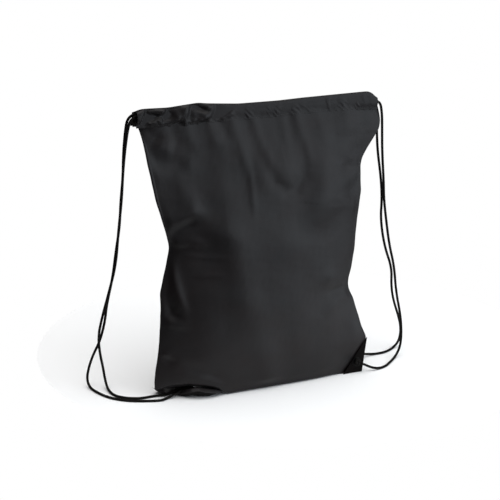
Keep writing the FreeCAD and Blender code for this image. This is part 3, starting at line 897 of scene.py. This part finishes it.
def stitch_mesh(name, line, outward):
    """Raised thread stitches along a line (mm); outward is the direction they stand."""
    line = respaced(np.asarray(line, float), 0.5)
    travel = np.arange(len(line)) * np.linalg.norm(line[1] - line[0])
    vertices, faces = [], []
    at = STITCH_GAP
    while at + STITCH_LENGTH < travel[-1]:
        start, end = (np.array([np.interp(place, travel, line[:, i]) for i in range(3)])
                      for place in (at, at + STITCH_LENGTH))
        axis = (end - start) / np.linalg.norm(end - start)
        lift = outward - axis * axis.dot(outward)
        lift /= np.linalg.norm(lift)
        across = np.cross(axis, lift)
        base = len(vertices)
        for i in range(STITCH_RINGS):
            s = i / (STITCH_RINGS - 1)
            bow = math.sin(math.pi * s)
            radius = STITCH_SIZE * (0.45 + 0.55 * bow)
            centre = start + (end - start) * s + lift * STITCH_SIZE * (0.9 * bow - 0.35)
            for j in range(STITCH_SIDES):
                a = 2.0 * math.pi * j / STITCH_SIDES
                vertices.append(centre + radius * (math.cos(a) * lift + math.sin(a) * across))
        faces += grid_faces(STITCH_RINGS, STITCH_SIDES, closed=True, offset=base)
        last = base + (STITCH_RINGS - 1) * STITCH_SIDES
        faces.append(tuple(base + j for j in reversed(range(STITCH_SIDES))))
        faces.append(tuple(last + j for j in range(STITCH_SIDES)))
        at += STITCH_LENGTH + STITCH_GAP
    return link_mesh(name, np.array(vertices) * MM, faces, THREAD)


def stitch_row(side, half):
    """Where the thread lies on the outer side of one half of a casing."""
    grid, xs, stitch, line = casings[side]
    points = []
    for i in np.where(xs * half >= 0.0)[0]:
        ring = grid[i]
        outer = ring[(ring[:, 1] - side * line[i]) * side > 0.0]
        best = outer[np.argmin(np.abs(outer[:, 2] - stitch[i] - STITCH_RISE))]
        points.append(best + (0.0, side * 0.05, 0.0))
    return points


for side_name, side in PANEL_SIDES:
    for half_name, half, body in HALVES:
        thread = stitch_mesh("%s_hem_stitches_%s" % (side_name, half_name),
                             stitch_row(side, half), (0.0, side, 0.0))
        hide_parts(side_name + "_casing_stitching")
        blend_top(thread)

# ---- side seams ----
SEAM_WIDTH, SEAM_HALF, SEAM_SIDES, SEAM_ROWS = 4.6, 1.15, 12, 230


def seam_binding(name, half, table, high, low):
    """A flattened, slightly wavy roll of cloth down one side, its outer edge on the table."""
    z = np.linspace(high, low, SEAM_ROWS)[:, None]
    a = 2.0 * math.pi * np.arange(SEAM_SIDES)[None, :] / SEAM_SIDES
    wobble = 0.35 * np.sin(z / 9.0) + 0.25 * np.sin(z / 4.1 + 1.0)
    dx = SEAM_WIDTH / 2.0 * (np.copysign(np.abs(np.cos(a)) ** 0.5, np.cos(a)) - 1.0)
    dy = SEAM_HALF * np.copysign(np.abs(np.sin(a)) ** 0.6, np.sin(a))
    x = smooth_table(table, z, 1) + half * dx + wobble * 0.4
    y = smooth_table(table, z, 2) + dy
    faces = grid_faces(SEAM_ROWS, SEAM_SIDES, closed=True, flip=half > 0)
    cap = list(range(SEAM_SIDES))[::-half]
    last = (SEAM_ROWS - 1) * SEAM_SIDES
    faces += [tuple(cap), tuple(last + j for j in cap[::-1])]
    vertices = np.stack([x, y, np.repeat(z, SEAM_SIDES, axis=1)], axis=2).reshape(-1, 3) * MM
    return link_mesh(name, vertices, faces, FABRIC)


for (side_name, half, body), table, high, low in zip(HALVES, (LEFT_EDGE, RIGHT_EDGE),
                                                     (392.0, 381.0), (13.0, 1.0)):
    seam = seam_binding(side_name + "_seam_binding", half, table, high, low)
    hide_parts(side_name + "_side_seam")
    blend_top(seam)


# ---- knots, eyelets and corner patches ----
KNOT_CORD, KNOT_SPACING = 1.65, 0.0005


def knot_line(centre, axes):
    """A trefoil about the third axis, in metres; centre is in mm."""
    t = np.linspace(0.0, 2.0 * math.pi, 240, endpoint=False)
    reach = 1.28 * (2.0 + np.cos(3.0 * t))
    local = np.stack([reach * np.cos(2.0 * t), reach * np.sin(2.0 * t), 1.3 * np.sin(3.0 * t)],
                     axis=1)
    points = centre + local @ np.array(axes, float)
    return respaced(np.concatenate([points, points[:1]]) * MM, KNOT_SPACING)[:-1]


for corner, axes in (("left", [(1, 0, 0), (0, 1, 0), (0, 0, 1)]),
                     ("right", [(1, 0, 0), (0, 0, 1), (0, -1, 0)])):
    low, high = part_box(corner + "_knot")
    centre = np.add(low, high) / 2.0 / MM
    knot = braided_tube(corner + "_overhand_knot", knot_line(centre, axes), KNOT_CORD * MM,
                        closed=True)
    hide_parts(corner + "_knot")
    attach(knot, "bag")


def dress(names, material, bevel):
    """Give CAD nodes a node material and rounded edges; bevel is in mm."""
    for name in names:
        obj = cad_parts[name]
        obj.data.materials.clear()
        obj.data.materials.append(material)
        rounding = obj.modifiers.new("rounded edges", "BEVEL")
        rounding.width = bevel * MM
        rounding.segments = 3
        rounding.limit_method = "ANGLE"


dress(["left_eyelet", "left_eyelet_washer", "right_eyelet", "right_eyelet_washer"], METAL, 0.2)
dress(["right_front_patch", "right_back_patch", "left_front_patch", "left_back_patch"], LEATHER,
      0.3)
dress(["bottom_seam"], FABRIC, 0.3)

# ---- the corner folded under at the left ----
# x, y, z of its front edge, and of where its cloth goes in under the belly
EAR_FRONT = [(-152.8, 6, 11.8), (-149.5, 6, 8), (-144.3, 8, 4.8), (-137.5, 9, 3), (-130.1, 2, 3.2),
             (-124.6, -6, 4.6), (-121.1, -12, 6.9), (-118.1, -19, 10.1), (-112.9, -24, 12.3),
             (-104.6, -28.5, 13.9), (-98.1, -30, 12.2), (-86.9, -30.5, 9.4), (-78.6, -29.5, 7),
             (-70, -26, 5)]
EAR_BACK = [(-152.6, 11, 12.4), (-149, 20, 10), (-143, 28, 8.4), (-137, 31, 6.6), (-130, 31, 5.4),
            (-125, 27, 5.2), (-119, 24, 5), (-113, 6, 4.9), (-104, 3, 4.9), (-97, 1, 4.9),
            (-89, 0, 4.8), (-82, -2, 4.6), (-76, -8, 4.4), (-70, -14, 4)]
# how far in the dark leatherette sheet under the fold is, and its share of the depth there; the
# sheet is painted shade, black where the fold's shadow falls
EAR_UNDER = [(0.8, 0.14), (2.4, 0.36), (4.4, 0.6), (6.6, 0.82), (9.0, 1.0), (15.0, 1.05)]


def ear_fold():
    """Its cloth, and the dark leatherette sheet under it that paints the shade there, each as a
    grid in mm and its normals.
    """
    edges = [respaced(np.array(edge, float), 1.0) for edge in (EAR_FRONT, EAR_BACK)]
    share = np.linspace(0.0, 1.0, 120)
    front, back = (np.stack([np.interp(share, np.linspace(0.0, 1.0, len(edge)), edge[:, i])
                             for i in range(3)], axis=1) for edge in edges)
    across = np.linspace(0.0, 1.0, 40)[:, None]
    grid = front[None] + (back - front)[None] * across[:, :, None]
    rise = (front[:, 2] - back[:, 2])[None] * (1.0 - smoothstep(0.15, 0.5, across))
    hump = 0.4 + 2.6 * smoothstep(-124.0, -112.0, front[:, 0])[None]
    hump = hump * np.sin(math.pi * np.minimum(across / 0.42, 1.0))
    grid[:, :, 2] = back[None, :, 2] + rise + hump
    wave = 0.35 * np.sin(grid[:, :, 0] / 3.1 + grid[:, :, 1] / 5.0) * np.sin(grid[:, :, 0] / 7.0)
    grid[:, :, 2] += wave * (1.0 - smoothstep(0.0, 0.3, across))
    # the fold turns down and back to the dark leatherette sheet under it, which paints the shade
    # under the fold
    rim = grid[0]
    turn = [rim + (0.0, dy, dz) for dy, dz in ((0.5, -1.3), (-0.35, -0.9), (-0.45, -0.4))]
    under = []
    deep = 2.5 + 6.6 * smoothstep(-134.0, -116.0, rim[:, 0]) * smoothstep(-68.0, -92.0, rim[:, 0])
    for inward, drop in EAR_UNDER:
        row = rim + (0.0, inward, 0.0)
        row[:, 2] = np.maximum(row[:, 2] - drop * deep, 0.7)
        under.append(row)
    shells = []
    for shell, facing in ((np.concatenate([turn, grid]), 1.0), (np.array(under), -1.0)):
        normals = grid_normals(shell)
        shells.append((shell, normals * np.sign(normals[-1, :, 2].mean()) * facing))
    return shells


(fold_grid, fold_normals), (under_grid, under_normals) = ear_fold()
ear = cloth_shell("left_ear_fold", fold_grid * MM, fold_normals, 0.5 * MM)
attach(ear, "bag")
# a dark leatherette sheet under the fold's front edge: painted shade, black where there is only the
# fold's shadow
ear_shade_sheet = cloth_shell("left_ear_shade_sheet", under_grid * MM, under_normals, 0.3 * MM)
ear_shade_sheet.data.materials[0] = LEATHER
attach(ear_shade_sheet, "bag")

for side_name, _ in PANEL_SIDES:
    for half_name in ("left", "right"):
        name = "%s_%%s_%s" % (side_name, half_name)
        sewn_on = [name % "casing", name % "hem_stitches"]
        if (side_name, half_name) == ("front", "left"):
            sewn_on += ["left_ear_fold", "left_ear_shade_sheet"]


# ---- floor and light ----
FLOOR_RADIUS = 0.37
FLOOR_MIDDLE = (0.10, 0.12)
FLOOR_CORNERS = 96
LIT_CENTRE = Vector((0.0, 0.0, 0.2))


def plain_floor():
    """A pale disc as wide as the shadows; beyond it the studio is as white as it is."""
    around = [(FLOOR_MIDDLE[0] + FLOOR_RADIUS * math.cos(a),
               FLOOR_MIDDLE[1] + FLOOR_RADIUS * math.sin(a), 0.0)
              for a in np.linspace(0.0, 2.0 * math.pi, FLOOR_CORNERS, endpoint=False)]
    mesh = bpy.data.meshes.new("floor")
    mesh.from_pydata(around, [], [tuple(range(FLOOR_CORNERS))])
    mesh.materials.append(floor_material())
    floor = bpy.data.objects.new("floor", mesh)
    scene.collection.objects.link(floor)
    floor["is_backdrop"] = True


def soft_light(name, azimuth, elevation, distance, size, power, colour):
    """A rectangle of light, aimed at the middle of the bag."""
    data = bpy.data.lights.new(name, "AREA")
    data.shape = "RECTANGLE"
    data.size, data.size_y = size
    data.energy = power
    data.color = colour
    direction = toward(azimuth, elevation)
    light = aimed(name, data, LIT_CENTRE + direction * distance, direction)
    light.visible_camera = False


def overhead_sun(strength, elevation, spread):
    """Even light that doesn't fall off across the floor."""
    data = bpy.data.lights.new("overhead", "SUN")
    data.energy = strength
    data.angle = math.radians(spread)
    data.specular_factor = 0.0
    aimed("overhead", data, LIT_CENTRE, toward(0.0, elevation))


def studio_world(seen_strength, light_strength):
    """White to the camera, and only a little light of its own."""
    world = bpy.data.worlds.new("studio")
    world.use_nodes = True
    scene.world = world
    tree = world.node_tree
    mix = add_node(tree, "ShaderNodeMixShader")
    path = add_node(tree, "ShaderNodeLightPath")
    tree.links.new(path.outputs["Is Camera Ray"], mix.inputs["Fac"])
    for place, strength in ((1, light_strength), (2, seen_strength)):
        background = add_node(tree, "ShaderNodeBackground",
                              {"Color": (1.0, 1.0, 1.0, 1.0), "Strength": strength})
        tree.links.new(background.outputs["Background"], mix.inputs[place])
    tree.links.new(mix.outputs["Shader"], tree.nodes["World Output"].inputs["Surface"])


plain_floor()
overhead_sun(3.1, 80.0, 80.0)
soft_light("key_softbox", 44.0, 6.0, 2.0, (2.6, 2.0), 43.0, (0.85, 0.93, 1.0))
soft_light("low_strip", -20.0, -4.0, 1.2, (1.0, 0.26), 1.0, (0.92, 0.95, 1.0))
studio_world(1.0, 0.05)
scene.view_settings.view_transform = "Standard"

low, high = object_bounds()
